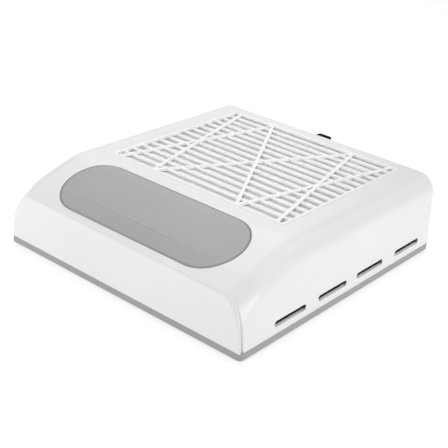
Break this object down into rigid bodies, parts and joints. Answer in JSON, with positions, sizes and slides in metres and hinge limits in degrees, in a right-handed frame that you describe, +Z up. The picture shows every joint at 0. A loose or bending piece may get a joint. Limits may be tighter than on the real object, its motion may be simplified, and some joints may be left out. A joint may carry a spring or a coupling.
{
  "type": "nail dust collector",
  "caption": "Low desktop dust collector for nail work: sloped wrist pad, slotted suction grille over a slide-out filter, and a centrifugal fan that blows out through side slots.",
  "frame": {"origin": "on the table, under the middle of the overall footprint, pull tab and knob included", "axes": "+Z up, +Y to the back where the filter slides out, +X to the right when seen from the front"},
  "size_m": [0.27, 0.29, 0.076],
  "materials": {
    "shell_white": "semi-gloss moulded ABS",
    "panel_white": "semi-gloss moulded ABS, a brighter batch than the shell",
    "tab_black": "matt moulded rubber-like plastic",
    "pad_grey": "satin soft-touch silicone",
    "band_grey": "satin moulded ABS",
    "rubber_black": "matt rubber",
    "foam_black": "closed-cell foam",
    "black_plastic": "fine-textured moulded plastic",
    "frame_white": "satin moulded plastic",
    "filter_paper": "pleated non-woven filter sheet",
    "zinc_steel": "zinc plated",
    "guard_steel": "bright plated steel",
    "shaft_steel": "ground steel",
    "motor_black": "satin black paint",
    "lamination": "stacked electrical steel",
    "copper": "enamelled copper",
    "board_green": "coated circuit board",
    "component_black": "moulded component casings",
    "lead_black": "insulated wire",
    "lead_brown": "insulated wire",
    "lead_white": "insulated wire",
    "lead_red": "insulated wire"
  },
  "bodies": {
    "housing": {"top_shell": "shell_white", "grille_panel": "panel_white", "wrist_pad": "pad_grey", "base_tray": "band_grey", "rubber_feet": "rubber_black", "base_screws": "zinc_steel", "fan_deck": "black_plastic", "deck_screws": "zinc_steel", "inlet_ring": "black_plastic", "finger_guard": "guard_steel", "guard_screws": "zinc_steel", "upper_bearing": "shaft_steel", "lower_bearing": "shaft_steel", "motor_can": "motor_black", "motor_stator": "lamination", "motor_windings": "copper", "motor_end_cap": "motor_black", "motor_bracket": "zinc_steel", "motor_isolators": "rubber_black", "motor_screws": "zinc_steel", "bracket_screws": "zinc_steel", "control_board": "board_green", "board_parts": "component_black", "board_screws": "zinc_steel", "speed_control_body": "component_black", "speed_control_nut": "zinc_steel", "rocker_housing": "black_plastic", "switch_terminals": "copper", "mains_inlet": "black_plastic", "inlet_pins": "shaft_steel", "inlet_terminals": "copper", "mains_leads": "lead_black", "switch_leads": "lead_brown", "speed_leads": "lead_white", "motor_leads": "lead_red", "lead_clips": "black_plastic"},
    "filter_cassette": {"filter_frame": "frame_white", "filter_scrim": "filter_paper", "filter_media": "filter_paper", "filter_gasket": "foam_black", "filter_pull_tab": "tab_black"},
    "fan_rotor": {"impeller": "black_plastic", "impeller_nut": "zinc_steel", "motor_shaft": "shaft_steel", "motor_rotor": "lamination"},
    "power_rocker": {"rocker_button": "black_plastic"},
    "speed_dial": {"speed_control_shaft": "shaft_steel", "speed_knob": "black_plastic"}
  },
  "joints": [
    {"name": "filter_slide", "type": "slide", "parent": "housing", "child": "filter_cassette", "axis": [0, 1, 0], "range_m": [0, 0.17]},
    {"name": "fan_spin", "type": "hinge", "parent": "housing", "child": "fan_rotor", "pos_m": [0, 0.0333, 0.025], "axis": [0, 0, 1], "continuous": true},
    {"name": "power_rocker_press", "type": "hinge", "parent": "housing", "child": "power_rocker", "pos_m": [0.044, 0.1373, 0.03], "axis": [1, 0, 0], "range_deg": [0, 16]},
    {"name": "speed_dial_turn", "type": "hinge", "parent": "housing", "child": "speed_dial", "pos_m": [-0.062, 0.14, 0.03], "axis": [0, -1, 0], "range_deg": [0, 270]}
  ]
}
